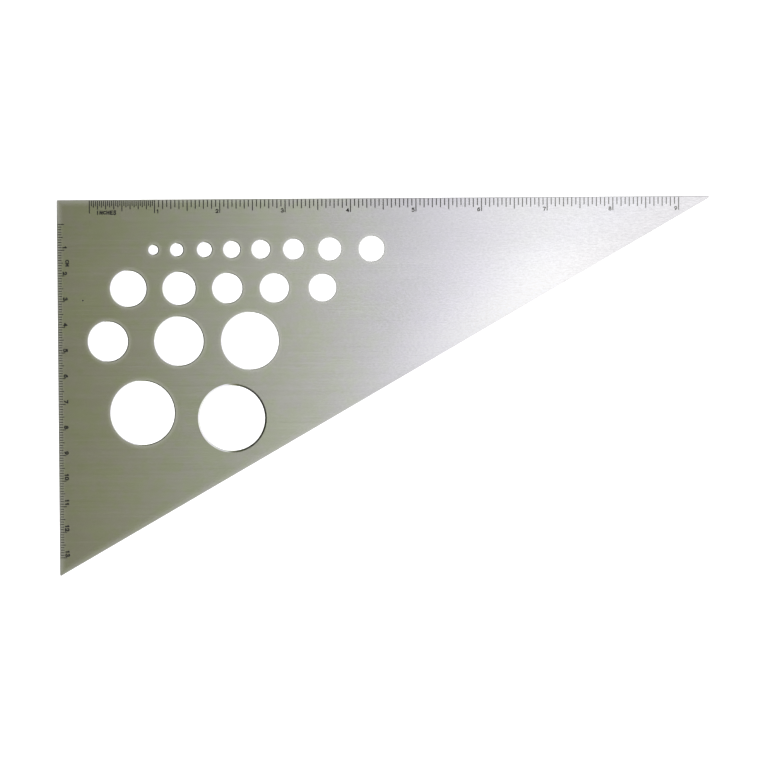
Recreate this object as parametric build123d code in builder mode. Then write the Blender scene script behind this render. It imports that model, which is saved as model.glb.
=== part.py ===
from build123d import *
import os
from math import radians, tan

# A flat aluminium set square with 30, 60 and 90 degree corners, all in millimetres.
# It lies face up: X runs along the long leg, Y along the short leg, and the underside is at Z = 0.
# The origin is below the middle of the plate's bounding box.

# Plate outline
long_leg = 254.6
tip_angle = 30
short_leg = long_leg * tan(radians(tip_angle))
plate_thickness = 2.0
corner_radius = 0.5

# Broken edges: shallow on the graduated face, with its width given, and square on the underside
edge_break = 0.25
circle_break = 0.35
largest_circle_break = 0.75
break_angle = 20
underside_break = 0.2

# Rounding trims each sharp tip by this share of its radius.
long_tip_trim = 1 / tan(radians(tip_angle / 2)) - 1
short_tip_trim = 1 / tan(radians((90 - tip_angle) / 2)) - 1
overall_length = long_leg - long_tip_trim * corner_radius
overall_width = short_leg - short_tip_trim * corner_radius

# The right angle is the corner that every other place is measured from.
corner_x = -overall_length / 2
corner_y = overall_width / 2

# Circle template: the distance of each hole's centre from the short and the long edge, and its bore
row_1_from_long_edge = 19.6
row_2_from_long_edge = 34.6
row_3_from_long_edge = 55.1
template_circles = [
    (37.7, row_1_from_long_edge, 3.5),
    (46.8, row_1_from_long_edge, 4.8),
    (57.6, row_1_from_long_edge, 5.5),
    (68.2, row_1_from_long_edge, 6.3),
    (79.5, row_1_from_long_edge, 7.0),
    (92.2, row_1_from_long_edge, 7.8),
    (106.3, row_1_from_long_edge, 8.7),
    (122.5, row_1_from_long_edge, 9.8),
    (27.8, row_2_from_long_edge, 13.9),
    (47.6, row_2_from_long_edge, 12.6),
    (66.4, row_2_from_long_edge, 11.5),
    (84.7, row_2_from_long_edge, 11.1),
    (103.4, row_2_from_long_edge, 10.5),
    (19.7, row_3_from_long_edge, 15.4),
    (47.4, row_3_from_long_edge, 19.0),
    (75.1, row_3_from_long_edge, 22.2),
    (33.0, 83.0, 24.9),
    (67.9, 85.2, 25.4),
]

# Scales: colour-filled marks, level with the face and a little short of the broken edge
mark_depth = 0.1
mark_gap = edge_break + 0.05

inch = 25.4
inch_zero = 12.8
inches_marked = 9
parts_per_inch = 32
inch_tick_width = 0.38
inch_tick = 5.3
half_inch_tick = 4.5
eighth_inch_tick = 3.75
sixteenth_inch_tick = 3.0
thirty_second_inch_tick = 2.5

millimetre_zero = 9.5
millimetres_marked = 130
millimetre_tick_width = 0.34
ten_millimetre_tick = 2.9
five_millimetre_tick = 2.3
millimetre_tick = 1.8

# Lettering: strokes of an engraving cutter with round ends, their height taken between the strokes' middles
inch_numeral_height = 1.25
inch_numeral_stroke = 0.38
inch_numeral_baseline = 5.25
inch_numeral_offset = 1.1
inch_one_offset = 1.25

centimetre_numeral_height = 1.3
centimetre_numeral_stroke = 0.5
centimetre_numeral_pitch = 1.3
centimetre_numeral_baseline = 2.35
centimetre_numeral_offset = 1.0

label_height = 1.25
label_stroke = 0.44
label_pitch = 1.34
inch_label_baseline = 5.65
inch_label_start = 3.2
centimetre_label_baseline = 3.3
centimetre_label_centre = 15.0

# Each stroke is a line through two points or an arc through three, in letter heights.
# Every letter is 0.7 wide, centred on X = 0, and stands on Y = 0.
letter_strokes = {
    "0": [
        ((-0.35, 0.35), (-0.35, 0.65)),
        ((-0.35, 0.65), (0, 1), (0.35, 0.65)),
        ((0.35, 0.65), (0.35, 0.35)),
        ((0.35, 0.35), (0, 0), (-0.35, 0.35)),
    ],
    "1": [((-0.22, 0.76), (0.02, 1)), ((0.02, 1), (0.02, 0))],
    "2": [
        ((-0.33, 0.68), (0, 1), (0.33, 0.68)),
        ((0.33, 0.68), (0.2, 0.4), (-0.35, 0)),
        ((-0.35, 0), (0.35, 0)),
    ],
    "3": [
        ((-0.3, 0.85), (0.27, 0.77), (0, 0.53)),
        ((0, 0.53), (0.34, 0.26), (0, 0)),
        ((0, 0), (-0.2, 0.05), (-0.34, 0.2)),
    ],
    "4": [((0.17, 0), (0.17, 1)), ((0.17, 1), (-0.37, 0.3)), ((-0.37, 0.3), (0.37, 0.3))],
    "5": [
        ((0.3, 1), (-0.25, 1)),
        ((-0.25, 1), (-0.3, 0.56)),
        ((-0.3, 0.56), (0.35, 0.34), (-0.33, 0.1)),
    ],
    "6": [
        ((-0.34, 0.33), (0, 0.66), (0.34, 0.33)),
        ((0.34, 0.33), (0, 0), (-0.34, 0.33)),
        ((-0.34, 0.33), (-0.2, 0.76), (0.2, 1)),
    ],
    "7": [((-0.35, 1), (0.35, 1)), ((0.35, 1), (-0.1, 0))],
    "8": [
        ((0, 0.53), (-0.27, 0.77), (0, 1)),
        ((0, 1), (0.27, 0.77), (0, 0.53)),
        ((0, 0.53), (0.34, 0.26), (0, 0)),
        ((0, 0), (-0.34, 0.26), (0, 0.53)),
    ],
    "9": [
        ((-0.34, 0.67), (0, 1), (0.34, 0.67)),
        ((0.34, 0.67), (0, 0.34), (-0.34, 0.67)),
        ((0.34, 0.67), (0.2, 0.24), (-0.2, 0)),
    ],
    "C": [((0.32, 0.83), (-0.35, 0.5), (0.32, 0.17))],
    "E": [
        ((-0.3, 0), (-0.3, 1)),
        ((-0.3, 1), (0.32, 1)),
        ((-0.3, 0.5), (0.22, 0.5)),
        ((-0.3, 0), (0.32, 0)),
    ],
    "H": [((-0.32, 0), (-0.32, 1)), ((0.32, 0), (0.32, 1)), ((-0.32, 0.5), (0.32, 0.5))],
    "I": [((0, 0), (0, 1))],
    "M": [
        ((-0.37, 0), (-0.37, 1)),
        ((-0.37, 1), (0, 0.35)),
        ((0, 0.35), (0.37, 1)),
        ((0.37, 1), (0.37, 0)),
    ],
    "N": [((-0.32, 0), (-0.32, 1)), ((-0.32, 1), (0.32, 0)), ((0.32, 0), (0.32, 1))],
    "S": [
        ((0.3, 0.86), (-0.27, 0.77), (0, 0.5)),
        ((0, 0.5), (0.28, 0.22), (-0.32, 0.14)),
    ],
}

face = Plane.XY.offset(plate_thickness)


def from_corner(along_long_leg, along_short_leg):
    """Turn two distances from the right-angled corner into a point on the plate."""
    return (corner_x + along_long_leg, corner_y - along_short_leg)


def letter(character, height, stroke_width):
    """Sketch one letter at its full size, as strokes with round ends."""
    with BuildSketch() as outline:
        for stroke in letter_strokes[character]:
            points = [(x * height, y * height) for x, y in stroke]
            with BuildLine():
                if len(points) == 2:
                    Line(*points)
                else:
                    ThreePointArc(*points)
            trace(line_width=stroke_width)
            with Locations(points[0], points[-1]):
                Circle(stroke_width / 2)
    return outline.sketch


inch_digits = {
    digit: letter(digit, inch_numeral_height, inch_numeral_stroke) for digit in "123456789"
}
centimetre_digits = {
    digit: letter(digit, centimetre_numeral_height, centimetre_numeral_stroke) for digit in "0123456789"
}
label_letters = {
    character: letter(character, label_height, label_stroke) for character in "CEHIMNS"
}


def inch_tick_length(step):
    """Length of the mark that stands this many thirty-seconds of an inch from zero."""
    if step % 32 == 0:
        return inch_tick
    if step % 16 == 0:
        return half_inch_tick
    if step % 4 == 0:
        return eighth_inch_tick
    if step % 2 == 0:
        return sixteenth_inch_tick
    return thirty_second_inch_tick


def millimetre_tick_length(step):
    """Length of the mark that stands this many millimetres from zero."""
    if step % 10 == 0:
        return ten_millimetre_tick
    if step % 5 == 0:
        return five_millimetre_tick
    return millimetre_tick


def inch_x(step):
    """Distance from the short edge of a mark on the inch scale."""
    return inch_zero + step * inch / parts_per_inch


# Inch scale along the long leg: thirty-seconds in the first inch, then sixteenths
fine_steps = list(range(0, parts_per_inch))
coarse_steps = list(range(parts_per_inch, inches_marked * parts_per_inch + 1, 2))
inch_steps = fine_steps + coarse_steps

with BuildPart() as inch_graduations:
    with BuildSketch(face):
        for length in sorted({inch_tick_length(step) for step in inch_steps}):
            steps = [step for step in inch_steps if inch_tick_length(step) == length]
            with Locations(*[from_corner(inch_x(step), mark_gap) for step in steps]):
                Rectangle(inch_tick_width, length - mark_gap, align=(Align.CENTER, Align.MAX))
    extrude(amount=-mark_depth)

with BuildPart() as inch_numerals:
    with BuildSketch(face):
        for number in range(1, inches_marked + 1):
            offset_x = inch_one_offset if number == 1 else -inch_numeral_offset
            place = from_corner(inch_x(number * parts_per_inch) + offset_x, inch_numeral_baseline)
            with Locations(place):
                add(inch_digits[str(number)])
    extrude(amount=-mark_depth)

with BuildPart() as inch_label:
    with BuildSketch(face):
        for place, character in enumerate("INCHES"):
            start = inch_zero + inch_label_start
            with Locations(from_corner(start + place * label_pitch, inch_label_baseline)):
                add(label_letters[character])
    extrude(amount=-mark_depth)

# Metric scale down the short leg, with its lettering turned to be read from the left
with BuildPart() as millimetre_graduations:
    with BuildSketch(face):
        all_steps = range(millimetres_marked + 1)
        for length in sorted({millimetre_tick_length(step) for step in all_steps}):
            steps = [step for step in all_steps if millimetre_tick_length(step) == length]
            with Locations(*[from_corner(mark_gap, millimetre_zero + step) for step in steps]):
                Rectangle(length - mark_gap, millimetre_tick_width, align=(Align.MIN, Align.CENTER))
    extrude(amount=-mark_depth)

with BuildPart() as centimetre_numerals:
    with BuildSketch(face):
        for number in range(1, millimetres_marked // 10 + 1):
            digits = str(number)
            for place, character in enumerate(digits):
                digits_after = len(digits) - 1 - place
                before_tick = centimetre_numeral_offset + digits_after * centimetre_numeral_pitch
                along = millimetre_zero + 10 * number - before_tick
                x, y = from_corner(centimetre_numeral_baseline, along)
                with Locations(Location((x, y, 0), (0, 0, -90))):
                    add(centimetre_digits[character])
    extrude(amount=-mark_depth)

with BuildPart() as centimetre_label:
    with BuildSketch(face):
        for place, character in enumerate("CM"):
            along = millimetre_zero + centimetre_label_centre + (place - 0.5) * label_pitch
            x, y = from_corner(centimetre_label_baseline, along)
            with Locations(Location((x, y, 0), (0, 0, -90))):
                add(label_letters[character])
    extrude(amount=-mark_depth)

fills = {
    "inch_graduations": inch_graduations,
    "inch_numerals": inch_numerals,
    "inch_label": inch_label,
    "millimetre_graduations": millimetre_graduations,
    "centimetre_numerals": centimetre_numerals,
    "centimetre_label": centimetre_label,
}

# The plate itself: sheet with rounded corners, template holes, broken edges and cut marks.
# The largest hole is countersunk a little on the graduated face.
with BuildPart() as plate:
    with BuildSketch():
        with BuildLine():
            Polyline(
                from_corner(0, 0),
                from_corner(0, short_leg),
                from_corner(long_leg, 0),
                close=True,
            )
        make_face()
    extrude(amount=plate_thickness)
    fillet(plate.edges().filter_by(Axis.Z), radius=corner_radius)
    with BuildSketch():
        for along_long_leg, along_short_leg, bore in template_circles:
            with Locations(from_corner(along_long_leg, along_short_leg)):
                Circle(bore / 2)
    extrude(amount=plate_thickness, mode=Mode.SUBTRACT)
    chamfer(plate.edges().group_by(Axis.Z)[0], length=underside_break)
    graduated_face = plate.faces().sort_by(Axis.Z)[-1]
    outline = graduated_face.outer_wire().edges()
    chamfer(outline, length=edge_break, angle=break_angle, reference=graduated_face)
    graduated_face = plate.faces().sort_by(Axis.Z)[-1]
    rims = graduated_face.edges() - graduated_face.outer_wire().edges()
    widest_rim = rims.sort_by(SortBy.RADIUS)[-1:]
    chamfer(widest_rim, length=largest_circle_break, angle=break_angle, reference=graduated_face)
    graduated_face = plate.faces().sort_by(Axis.Z)[-1]
    rims = graduated_face.edges() - graduated_face.outer_wire().edges()
    other_rims = rims.sort_by(SortBy.RADIUS)[:-1]
    chamfer(other_rims, length=circle_break, angle=break_angle, reference=graduated_face)
    for fill in fills.values():
        add(fill.part, mode=Mode.SUBTRACT)

os.makedirs("parts", exist_ok=True)
plate.part.label = "plate"
export_step(plate.part, "parts/plate.step")
for name, fill in fills.items():
    fill.part.label = name
    export_step(fill.part, f"parts/{name}.step")
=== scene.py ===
from math import cos, radians, sin, tan

import bpy
from mathutils import Matrix, Quaternion, Vector


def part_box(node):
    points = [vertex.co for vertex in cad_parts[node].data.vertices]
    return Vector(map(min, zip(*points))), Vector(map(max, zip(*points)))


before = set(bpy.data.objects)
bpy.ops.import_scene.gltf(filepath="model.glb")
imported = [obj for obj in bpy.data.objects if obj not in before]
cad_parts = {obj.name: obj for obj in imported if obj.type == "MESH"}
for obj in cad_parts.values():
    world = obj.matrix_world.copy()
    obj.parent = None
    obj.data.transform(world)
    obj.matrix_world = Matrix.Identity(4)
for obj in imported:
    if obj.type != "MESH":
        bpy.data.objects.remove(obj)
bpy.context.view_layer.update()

bl_info = {
    "name": "Set Square Finishes",
    "version": (1, 0, 0),
    "blender": (4, 5, 0),
    "location": "3D View > Sidebar > Set Square",
    "description": "Brushed metal, colour-filled scales and a light table for a drafting set square",
    "category": "Material",
}

# The plate lies face up, with its right angle at the lowest X and the highest Y of its box.
plate_low, plate_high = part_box("plate")
thickness = plate_high.z - plate_low.z
tip_angle = radians(30)
corner_radius = 0.0005

# Rounding the sharp tip leaves the plate this much shorter than its long leg.
long_leg = plate_high.x - plate_low.x + (1 / tan(tip_angle / 2) - 1) * corner_radius

graduation_nodes = ("inch_graduations", "millimetre_graduations")
lettering_nodes = ("inch_numerals", "inch_label", "centimetre_numerals", "centimetre_label")


def round_holes():
    """Find the centre and the radius of each round hole, from the walls that go through the plate."""
    steepest_tilt = 0.1
    below_marks = plate_low.z + thickness * 0.7
    micrometre_digits = 6
    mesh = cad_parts["plate"].data
    neighbours = {}
    for face in mesh.polygons:
        if abs(face.normal.z) < steepest_tilt and face.center.z < below_marks:
            corners = [mesh.vertices[i].co for i in face.vertices]
            places = {tuple(round(value, micrometre_digits) for value in corner.xy) for corner in corners}
            for place in places:
                neighbours.setdefault(place, set()).update(places)
    holes = []
    while neighbours:
        rim, waiting = [], [next(iter(neighbours))]
        while waiting:
            place = waiting.pop()
            if place in neighbours:
                rim.append(place)
                waiting.extend(neighbours.pop(place))
        width = max(x for x, y in rim) - min(x for x, y in rim)
        centre_x = (max(x for x, y in rim) + min(x for x, y in rim)) / 2
        centre_y = (max(y for x, y in rim) + min(y for x, y in rim)) / 2
        if width < long_leg / 2:
            holes.append((Vector((centre_x, centre_y, 0)), width / 2))
    return holes


# ---------------------------------------------------------------------------
# Shader expressions
# ---------------------------------------------------------------------------

class Number:
    """A value in a node tree that takes part in sums, so that shader maths reads as a formula."""

    def __init__(self, graph, socket):
        self.graph = graph
        self.socket = socket

    def maths(self, operation, *terms):
        settings = {"operation": operation}
        return self.graph.number("ShaderNodeMath", "Value", settings, dict(enumerate(terms)))

    def __add__(self, other):
        return self.maths("ADD", self, other)

    def __sub__(self, other):
        return self.maths("SUBTRACT", self, other)

    def __mul__(self, other):
        return self.maths("MULTIPLY", self, other)

    def __rsub__(self, other):
        return self.maths("SUBTRACT", other, self)

    __radd__ = __add__
    __rmul__ = __mul__

    def lower(self, other):
        """Give the lower of this value and another."""
        return self.maths("MINIMUM", self, other)

    def eased(self, low, high, start=0.0, end=1.0):
        """Go smoothly from start to end while this value goes from low to high."""
        settings = {"interpolation_type": "SMOOTHSTEP"}
        sockets = {"Value": self, "From Min": low, "From Max": high, "To Min": start, "To Max": end}
        return self.graph.number("ShaderNodeMapRange", "Result", settings, sockets)


class Graph:
    """A node tree that is filled from Python expressions."""

    def __init__(self, owner):
        owner.use_nodes = True
        self.tree = owner.node_tree
        self.tree.nodes.clear()

    def node(self, kind, settings=None, sockets=None):
        """Add a node: its settings first, then a value or a link for each socket that is named."""
        made = self.tree.nodes.new(kind)
        for name, value in (settings or {}).items():
            if name == "stops":
                self.set_stops(made.color_ramp, value)
            else:
                setattr(made, name, value)
        for name, value in (sockets or {}).items():
            if isinstance(value, Number):
                value = value.socket
            if isinstance(value, bpy.types.NodeSocket):
                self.tree.links.new(value, made.inputs[name])
            else:
                made.inputs[name].default_value = value
        return made

    def set_stops(self, ramp, stops):
        """Give a colour ramp its stops, each a place and a colour."""
        while len(ramp.elements) < len(stops):
            ramp.elements.new(1)
        for element, (place, colour) in zip(ramp.elements, stops):
            element.position = place
            element.color = (*colour, 1)

    def number(self, kind, output, settings=None, sockets=None):
        """Add a node and give one of its outputs as a number."""
        return Number(self, self.node(kind, settings, sockets).outputs[output])

    def colour(self, share, first, second, how="MIX"):
        """Blend two colours, which a Mix node takes at its inputs 6 and 7 and gives at its output 2."""
        settings = {"data_type": "RGBA", "blend_type": how}
        return self.node("ShaderNodeMix", settings, {0: share, 6: first, 7: second}).outputs[2]

    def grey(self, value):
        """Turn a number into a grey colour."""
        return self.node("ShaderNodeCombineColor", {}, {0: value, 1: value, 2: value}).outputs[0]

    def split(self, vector):
        """Give the X, Y and Z of a vector one by one."""
        parts = self.node("ShaderNodeSeparateXYZ", {}, {0: vector}).outputs
        return [Number(self, part) for part in parts]

    def away_from(self, flat, place):
        """Distance of a point from this place."""
        sockets = {0: flat, 1: place}
        return self.number("ShaderNodeVectorMath", "Value", {"operation": "DISTANCE"}, sockets)

    def pattern(self, where, size, turn=0.0, detail=2.0, offset=0.0):
        """Noise from 0 to 1 whose blotches have this size along X, Y and Z, turned about Z."""
        shift = (offset, offset, offset)
        turned = self.node("ShaderNodeMapping", {"vector_type": "TEXTURE"}, {
            "Vector": where, "Rotation": (0, 0, turn), "Scale": size, "Location": shift})
        sockets = {"Vector": turned.outputs[0], "Scale": 1.0, "Detail": detail}
        return self.number("ShaderNodeTexNoise", 0, {}, sockets)

    def principled(self, sockets):
        """Finish a material with its one shader."""
        shader = self.node("ShaderNodeBsdfPrincipled", {}, sockets)
        self.node("ShaderNodeOutputMaterial", {}, {"Surface": shader.outputs[0]})


# ---------------------------------------------------------------------------
# Settings
# ---------------------------------------------------------------------------

class PlateSettings(bpy.types.PropertyGroup):
    metal_tone: bpy.props.FloatVectorProperty(
        name="Metal Tone", description="Colour that the metal gives to what it reflects",
        default=(0.89, 0.89, 0.89), subtype="COLOR", min=0, max=1)
    grain_width: bpy.props.FloatProperty(
        name="Grain Width", description="Width of the finest brush marks",
        default=0.00016, unit="LENGTH", precision=6)
    grain_length: bpy.props.FloatProperty(
        name="Grain Length", description="Length of the finest brush marks, along the long leg",
        default=0.016, unit="LENGTH", precision=4)
    grain_depth: bpy.props.FloatProperty(
        name="Grain Depth", description="Depth of the finest brush marks",
        default=0.000004, unit="LENGTH", precision=7)
    grain_contrast: bpy.props.FloatProperty(
        name="Grain Contrast", description="How much lighter and darker the brush marks are",
        default=0.07, subtype="FACTOR", min=0, max=1)
    roughness: bpy.props.FloatProperty(
        name="Roughness", description="Roughness of the satin finish",
        default=0.18, subtype="FACTOR", min=0, max=1)
    anisotropy: bpy.props.FloatProperty(
        name="Stretch Across Grain", description="How far highlights spread across the brush marks",
        default=0.9, subtype="FACTOR", min=0, max=1)
    # Width of the painted glow along the three edges
    edge_glow_width: bpy.props.FloatProperty(
        name="Wear Width", description="Width of the rubbed band along the three edges",
        default=0.0029, unit="LENGTH", precision=4)
    # Width of the painted glow round each hole
    hole_glow_width: bpy.props.FloatProperty(
        name="Ring Width", description="Width of the ring that pencils have rubbed round each hole",
        default=0.0021, unit="LENGTH", precision=4)
    # The cut rim lies inside the painted glow ring round each hole.
    rim_width: bpy.props.FloatProperty(
        name="Rim Width", description="Width of the freshly cut rim inside each rubbed ring",
        default=0.00035, unit="LENGTH", precision=5)
    countersink_width: bpy.props.FloatProperty(
        name="Countersink Width", description="Width of the freshly cut rim of the largest hole",
        default=0.00075, unit="LENGTH", precision=5)
    stain_place: bpy.props.FloatVectorProperty(
        name="Stain Place", description="Distance of the small stain from the short and the long edge",
        default=(0.0099, 0.0391), size=2, unit="LENGTH", precision=4)
    stain_radius: bpy.props.FloatProperty(
        name="Stain Radius", description="Radius of the small stain",
        default=0.00035, unit="LENGTH", precision=5)


class InkSettings(bpy.types.PropertyGroup):
    ink_tone: bpy.props.FloatVectorProperty(
        name="Ink Tone", description="Colour of the filling in the scales and numerals",
        default=(0.012, 0.012, 0.008), subtype="COLOR", min=0, max=1)
    roughness: bpy.props.FloatProperty(
        name="Roughness", description="Roughness of the matt filling",
        default=0.45, subtype="FACTOR", min=0, max=1)
    fading: bpy.props.FloatProperty(
        name="Fading", description="How much metal shows through where the filling is thin",
        default=0.08, subtype="FACTOR", min=0, max=1)


class StageSettings(bpy.types.PropertyGroup):
    camera_place: bpy.props.FloatVectorProperty(
        name="Camera Place", description="Where the camera stands",
        default=(0.0232, 0.0329, 1.002), subtype="TRANSLATION", unit="LENGTH")
    camera_aim: bpy.props.FloatVectorProperty(
        name="Camera Aim", description="The point of the graduated face at the middle of the view",
        default=(0.0004, 0.00112, 0.002), subtype="TRANSLATION", unit="LENGTH", precision=5)
    view_width: bpy.props.FloatProperty(
        name="View Width", description="Width that the view takes in at the plate",
        default=0.2985, unit="LENGTH", precision=5)
    camera_roll: bpy.props.FloatProperty(
        name="Camera Roll", description="How far the camera is turned about its own line of sight",
        default=-0.00572, subtype="ANGLE", unit="ROTATION", precision=4)
    table_size: bpy.props.FloatProperty(
        name="Table Size", description="Length of each side of the light table",
        default=8.0, unit="LENGTH")
    table_glow: bpy.props.FloatProperty(
        name="Table Glow", description="Brightness of the light table",
        default=1.0, min=0)


# ---------------------------------------------------------------------------
# Finishes
# ---------------------------------------------------------------------------

def distances_to_edges(x, y):
    """Distances of a point of the plate from its short, its long and its slanted edge."""
    from_short = x - plate_low.x
    from_long = plate_high.y - y
    from_slant = (long_leg - from_short) * sin(tip_angle) - from_long * cos(tip_angle)
    return from_short, from_long, from_slant


def distance_to_holes(graph, flat, holes):
    """Distance of a point of the plate from the wall of the nearest of these holes."""
    nearest = None
    for centre, radius in holes:
        away = graph.away_from(flat, centre) - radius
        nearest = nearest.lower(away) if nearest else away
    return nearest


def make_stain(graph, flat, settings):
    """Give 1 inside the small stain near the short edge, and 0 outside it."""
    place = (plate_low.x + settings.stain_place[0], plate_high.y - settings.stain_place[1], 0)
    notch = 0.0003
    radius = settings.stain_radius
    ragged = graph.away_from(flat, place) + (graph.pattern(flat, (notch, notch, notch)) - 0.5) * radius
    return ragged.eased(radius * 0.7, radius * 1.2, 1, 0)


def along_plate(x):
    """Go from 0 at the short edge to 1 at the tip."""
    return x.eased(plate_low.x, plate_high.x)


def make_edge_glow(x, y, settings):
    """Painted glow: give 0 away from the edges, near 1 in a band along the three edges and up to 2 at the
    square corner.
    """
    from_short, from_long, from_slant = distances_to_edges(x, y)
    corner_width = 0.001
    corner_start, corner_end = 0.001, 0.008
    band = from_short.lower(from_long).lower(from_slant).eased(0, settings.edge_glow_width, 1, 0)
    band = band * along_plate(x).eased(0.3, 0.7, 1, 0.1)
    corner = from_short.eased(0, corner_width, 1, 0) * from_long.eased(corner_start, corner_end, 1, 0)
    return band + corner


def make_grain_and_painted_light(graph, where, x, y, fine, coarse, mottle, marks, settings):
    """How much lighter or darker than plain metal each place is: 1 is neither. Brush grain, mottle and
    scratches, with painted shade along the long edge and a painted sheen along the slanted edge.
    """
    width, length = settings.grain_width, settings.grain_length
    bands = graph.pattern(where, (length * 12, width * 24, width * 24), offset=0.7)
    flecks = graph.pattern(where, (0.0011, 0.0005, 0.0005), offset=0.9)
    streaks = graph.pattern(where, (0.002, 0.0006, 0.0006), offset=0.6)
    from_long, from_slant = distances_to_edges(x, y)[1:]
    towards_tip = along_plate(x)
    shade_band_start, shade_band_end = 0.012, 0.028
    shade_line_start, shade_line_end = 0.0002, 0.0004
    painted_sheen_width = 0.03
    contrast = towards_tip.eased(0.25, 0.6, 1, 0.7) * settings.grain_contrast
    light = 1 + (fine - 0.5) * contrast + (coarse - 0.5) * contrast + (bands - 0.5) * contrast * 0.6
    light = light + (flecks - 0.5) * towards_tip.eased(0.2, 0.55, 0.11, 0.25)
    light = light + (streaks - 0.5) * towards_tip.eased(0.5, 1, 0, 0.27)
    light = light + (mottle - 0.5) * 0.05 - marks * 0.04
    # Painted shade: 5% darker within 12 mm of the long edge, fading out by 28 mm.
    light = light * from_long.eased(shade_band_start, shade_band_end, 0.95, 1)
    # Painted shade: a dark line along the long edge, a third darker within its first 0.2 mm.
    light = light * from_long.eased(shade_line_start, shade_line_end, 0.66, 1)
    # Painted sheen: a lighter band along the middle of the slanted edge, fading out before the tip.
    painted_sheen = towards_tip.eased(0.35, 0.62, 0, 0.13) - towards_tip.eased(0.82, 1, 0, 0.13)
    return light * (1 + from_slant.eased(0, painted_sheen_width, 1, 0) * painted_sheen)


def tint_metal(graph, where, x, y):
    """Colour the metal: blotches of olive and rose, then lilac past the holes and warmth by the slant."""
    blotches = graph.pattern(where, (0.011, 0.009, 0.009), offset=0.5) * 0.5
    blotches = blotches + graph.pattern(where, (0.004, 0.0035, 0.0035)) * 0.5
    from_slant = distances_to_edges(x, y)[2]
    towards_tip = along_plate(x)
    olive, rosy = (0.965, 1.0, 0.90, 1), (1.0, 0.98, 1.03, 1)
    plain, lilac, warm = (1, 1, 1, 1), (0.975, 0.95, 1.0, 1), (1, 0.992, 0.968, 1)
    warm_start, warm_end = 0.002, 0.016
    tinted = graph.colour(blotches.eased(0.38, 0.62), olive, rosy)
    tinted = graph.colour(towards_tip.eased(0, 1, 0, 0.92), tinted, plain)
    lilac_share = towards_tip.eased(0.42, 0.56, 0, 0.6) * towards_tip.eased(0.7, 0.85, 1, 0)
    tinted = graph.colour(lilac_share, tinted, lilac)
    warmth = from_slant.eased(warm_start, warm_end, 1, 0) * towards_tip.eased(0.5, 0.8)
    return graph.colour(warmth, tinted, warm)


def make_brushed_metal(settings):
    """Satin aluminium: brushed along the long leg, a little mottled and scratched, with a painted glow
    along its edges and round its holes, painted shade along its long edge and a painted sheen along its
    slanted edge.
    """
    material = bpy.data.materials.new("brushed_aluminium")
    graph = Graph(material)
    where = graph.node("ShaderNodeTexCoord").outputs["Object"]
    x, y = graph.split(where)[:2]
    flat = graph.node("ShaderNodeCombineXYZ", {}, {0: x, 1: y}).outputs[0]
    width, length = settings.grain_width, settings.grain_length

    fine = graph.pattern(where, (length, width, width), detail=3)
    coarse = graph.pattern(where, (length * 4, width * 5, width * 5), offset=0.3)
    mottle = graph.pattern(where, (0.007, 0.005, 0.005), offset=0.2)
    scratches = graph.pattern(where, (0.03, 0.0002, 0.0002), turn=radians(7), detail=1)
    cross_scratches = graph.pattern(where, (0.012, 0.00018, 0.0002), turn=radians(-31), detail=1)
    marks = scratches.eased(0.72, 0.78) + cross_scratches.eased(0.76, 0.8)

    *holes, largest_hole = sorted(round_holes(), key=lambda hole: hole[1])
    from_hole = distance_to_holes(graph, flat, holes)
    from_countersink = distance_to_holes(graph, flat, [largest_hole])
    rim, sunk = settings.rim_width, settings.countersink_width
    # Painted glow in a ring round each hole, outside its cut rim.
    hole_glow = from_hole.eased(rim * 0.8, rim * 1.2) * from_hole.eased(rim, settings.hole_glow_width, 1, 0)
    cut = from_hole.eased(rim * 0.9, rim * 1.1, 1, 0)

    # The cut rims of the smaller holes get duller from this X to that one, towards the tip.
    dull_start, dull_end = -0.08, 0
    dulled = cut * x.eased(dull_start, dull_end)
    cut = cut + from_countersink.eased(sunk * 0.95, sunk * 1.05, 1, 0) - dulled
    # Painted glow along the three edges and at the square corner: it lightens the colour and lowers the
    # metallic.
    edge_glow = make_edge_glow(x, y, settings)
    stain = make_stain(graph, flat, settings)

    light = make_grain_and_painted_light(graph, where, x, y, fine, coarse, mottle, marks, settings)
    glow_and_dull_rim_tone, stain_tone = (0.96, 0.96, 0.94, 1), (0.03, 0.028, 0.02, 1)
    metal = graph.colour(1.0, (*settings.metal_tone, 1), tint_metal(graph, where, x, y), "MULTIPLY")
    metal = graph.colour(1.0, metal, graph.grey(light), "MULTIPLY")
    # Pale grey for the painted glow along the edges and round the holes, and for the dulled rims near the
    # tip.
    metal = graph.colour(edge_glow * 0.5 + hole_glow * 0.8 + dulled, metal, glow_and_dull_rim_tone)
    metal = graph.colour(stain, metal, stain_tone)

    depth = (fine - 0.5) + (coarse - 0.5) * 2 - marks * 0.3
    bump = graph.node("ShaderNodeBump", {}, {"Height": depth, "Distance": settings.grain_depth})
    tangent = graph.node("ShaderNodeTangent", {"direction_type": "RADIAL", "axis": "X"})
    roughness = settings.roughness + (coarse - 0.5) * 0.06 + (mottle - 0.5) * 0.03
    bare_metal = 0.9
    graph.principled({
        "Base Color": metal,
        "Metallic": (bare_metal - edge_glow * 0.26 - hole_glow * 0.2 + cut * 0.1 - dulled * 0.6) * (1 - stain),
        "Roughness": roughness + stain * 0.3 + dulled * 0.4,
        "Anisotropic": settings.anisotropy,
        "Tangent": tangent.outputs[0],
        "Normal": bump.outputs[0],
    })
    return material


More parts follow.
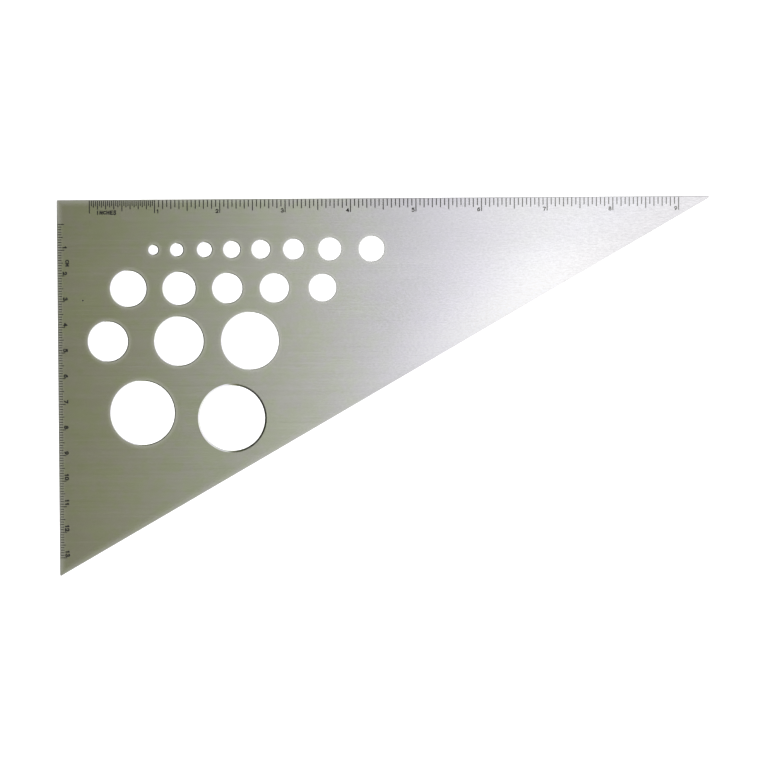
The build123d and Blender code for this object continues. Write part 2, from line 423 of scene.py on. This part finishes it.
def make_scale_ink(settings, name, grain, worn_end=0.0):
    """Black filling: grainy, thinner towards the tip and, by worn_end, down the short edge."""
    material = bpy.data.materials.new(name)
    graph = Graph(material)
    where = graph.node("ShaderNodeTexCoord").outputs["Object"]
    x, y = graph.split(where)[:2]
    patch_size, speck_depth = 0.004, 0.00001
    end_start, end_full = 0.085, 0.11
    tip_start, tip_full, tip_fading = -0.01, 0.085, 0.7
    showing_metal = (0.5, 0.5, 0.47, 1)
    specks = graph.pattern(where, (grain, grain, grain), detail=3)
    patches = graph.pattern(where, (patch_size, patch_size, patch_size), offset=0.4)
    thin = specks.eased(0.5, 0.75) * settings.fading + patches.eased(0.45, 0.8) * settings.fading * 0.5
    thin = thin + (plate_high.y - y).eased(end_start, end_full) * worn_end
    thin = thin + x.eased(tip_start, tip_full) * tip_fading
    ink = graph.colour(thin, (*settings.ink_tone, 1), showing_metal)
    bump = graph.node("ShaderNodeBump", {}, {"Height": specks, "Distance": speck_depth})
    graph.principled({
        "Base Color": ink,
        "Roughness": settings.roughness + (specks - 0.5) * 0.2,
        "Specular IOR Level": 0.5,
        "Normal": bump.outputs[0],
    })
    return material


def give(material, names):
    """Put a finish on CAD nodes."""
    for name in names:
        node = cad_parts[name]
        for slot in node.material_slots:
            slot.material = material
        if not node.material_slots:
            node.data.materials.append(material)


class SETSQUARE_OT_finish_plate(bpy.types.Operator):
    """Give the plate its brushed, scratched metal, with painted glow, painted shade and a painted sheen"""
    bl_idname = "setsquare.finish_plate"
    bl_label = "Finish the Plate"

    def execute(self, context):
        give(make_brushed_metal(context.scene.set_square_plate), ["plate"])
        return {"FINISHED"}


class SETSQUARE_OT_fill_graduations(bpy.types.Operator):
    """Fill the marks of the inch and millimetre scales with ink"""
    bl_idname = "setsquare.fill_graduations"
    bl_label = "Fill the Graduations"

    def execute(self, context):
        settings, grain = context.scene.set_square_ink, 0.00025
        give(make_scale_ink(settings, "graduation_ink", grain, worn_end=0.06), graduation_nodes)
        return {"FINISHED"}


class SETSQUARE_OT_fill_lettering(bpy.types.Operator):
    """Fill the numerals and the unit labels with ink"""
    bl_idname = "setsquare.fill_lettering"
    bl_label = "Fill the Lettering"

    def execute(self, context):
        settings, grain = context.scene.set_square_ink, 0.00018
        give(make_scale_ink(settings, "lettering_ink", grain), lettering_nodes)
        return {"FINISHED"}


# ---------------------------------------------------------------------------
# Stage
# ---------------------------------------------------------------------------

def make_table(settings):
    """A plain white light table under the plate."""
    gap = 0.00005
    bpy.ops.object.select_all(action="DESELECT")
    bpy.ops.mesh.primitive_plane_add(size=settings.table_size, location=(0, 0, plate_low.z - gap))
    table = bpy.context.active_object
    table.name = "light_table"
    bpy.ops.object.transform_apply(location=True, rotation=False, scale=False)
    material = bpy.data.materials.new("light_table_glass")
    Graph(material).principled({
        "Base Color": (0.9, 0.9, 0.9, 1),
        "Roughness": 0.9,
        "Emission Color": (1, 1, 1, 1),
        "Emission Strength": settings.table_glow,
    })
    table.data.materials.append(material)


def make_soft_light():
    """A studio: dark on the left and high up ahead, a white diffuser on the right, grey walls low down."""
    world = bpy.data.worlds.new("soft_studio")
    bpy.context.scene.world = world
    graph = Graph(world)
    direction = graph.node("ShaderNodeTexCoord").outputs["Generated"]
    across, ahead, up = graph.split(direction)
    stops = [
        (0.0, (0.015, 0.015, 0.012)),
        (0.30, (0.04, 0.043, 0.031)),
        (0.41, (0.096, 0.112, 0.055)),
        (0.435, (0.192, 0.184, 0.08)),
        (0.455, (0.272, 0.297, 0.215)),
        (0.475, (0.455, 0.457, 0.356)),
        (0.495, (0.684, 0.68, 0.778)),
        (0.515, (1.15, 1.15, 1.15)),
        (0.535, (1.04, 1.03, 1.1)),
        (1.0, (1.04, 1.04, 1.02)),
    ]
    panels = graph.node("ShaderNodeValToRGB", {"stops": stops}, {0: across * 0.5 + 0.5}).outputs[0]
    beyond = ahead.eased(0.35, 0.6, 0, 0.4) * up.eased(0.6, 0.7)
    panels = graph.colour(beyond, panels, (0, 0, 0, 1))
    low = up.eased(0.45, 0.62, 1, 0)
    wall_tone, backdrop_tone = (0.55, 0.55, 0.54, 1), (1.1, 1.1, 1.1, 1)
    around = graph.colour(low * 0.8, panels, wall_tone)
    seen = graph.node("ShaderNodeLightPath").outputs["Is Camera Ray"]
    shown = graph.colour(seen, around, backdrop_tone)
    background = graph.node("ShaderNodeBackground", {}, {"Color": shown, "Strength": 1.0})
    graph.node("ShaderNodeOutputWorld", {}, {"Surface": background.outputs[0]})


def make_camera(settings):
    """A long lens almost straight above the plate."""
    place, aim = Vector(settings.camera_place), Vector(settings.camera_aim)
    back = (place - aim).normalized()
    right = Vector((0, 1, 0)).cross(back).normalized()
    level = Matrix((right, back.cross(right), back)).transposed().to_quaternion()
    data = bpy.data.cameras.new("camera")
    data.sensor_width = 36
    data.lens = data.sensor_width * (place - aim).length / settings.view_width
    data.clip_start = 0.05
    data.clip_end = 20
    camera = bpy.data.objects.new("camera", data)
    bpy.context.scene.collection.objects.link(camera)
    camera.location = place
    camera.rotation_mode = "QUATERNION"
    camera.rotation_quaternion = level @ Quaternion((0, 0, 1), settings.camera_roll)
    bpy.context.scene.camera = camera


class SETSQUARE_OT_set_stage(bpy.types.Operator):
    """Lay the set square on a light table, in soft light, with a camera above it"""
    bl_idname = "setsquare.set_stage"
    bl_label = "Set the Stage"

    def execute(self, context):
        make_table(context.scene.set_square_stage)
        make_soft_light()
        make_camera(context.scene.set_square_stage)
        context.scene.view_settings.view_transform = "Standard"
        context.scene.view_settings.look = "None"
        return {"FINISHED"}


class SETSQUARE_PT_panel(bpy.types.Panel):
    """Lists the steps in their order, with their settings"""
    bl_idname = "SETSQUARE_PT_panel"
    bl_label = "Set Square"
    bl_space_type = "VIEW_3D"
    bl_region_type = "UI"
    bl_category = "Set Square"

    def draw(self, context):
        steps = (
            (context.scene.set_square_plate, ["setsquare.finish_plate"]),
            (context.scene.set_square_ink, ["setsquare.fill_graduations", "setsquare.fill_lettering"]),
            (context.scene.set_square_stage, ["setsquare.set_stage"]),
        )
        for settings, operators in steps:
            box = self.layout.box()
            for name in settings.bl_rna.properties.keys():
                if name not in ("rna_type", "name"):
                    box.prop(settings, name)
            for operator in operators:
                box.operator(operator)


classes = (
    PlateSettings,
    InkSettings,
    StageSettings,
    SETSQUARE_OT_finish_plate,
    SETSQUARE_OT_fill_graduations,
    SETSQUARE_OT_fill_lettering,
    SETSQUARE_OT_set_stage,
    SETSQUARE_PT_panel,
)


def register():
    for each in classes:
        bpy.utils.register_class(each)
    bpy.types.Scene.set_square_plate = bpy.props.PointerProperty(type=PlateSettings)
    bpy.types.Scene.set_square_ink = bpy.props.PointerProperty(type=InkSettings)
    bpy.types.Scene.set_square_stage = bpy.props.PointerProperty(type=StageSettings)


def unregister():
    del bpy.types.Scene.set_square_stage
    del bpy.types.Scene.set_square_ink
    del bpy.types.Scene.set_square_plate
    for each in reversed(classes):
        bpy.utils.unregister_class(each)


def main():
    register()
    bpy.ops.setsquare.finish_plate()
    bpy.ops.setsquare.fill_graduations()
    bpy.ops.setsquare.fill_lettering()
    bpy.ops.setsquare.set_stage()


if __name__ == "__main__":
    main()
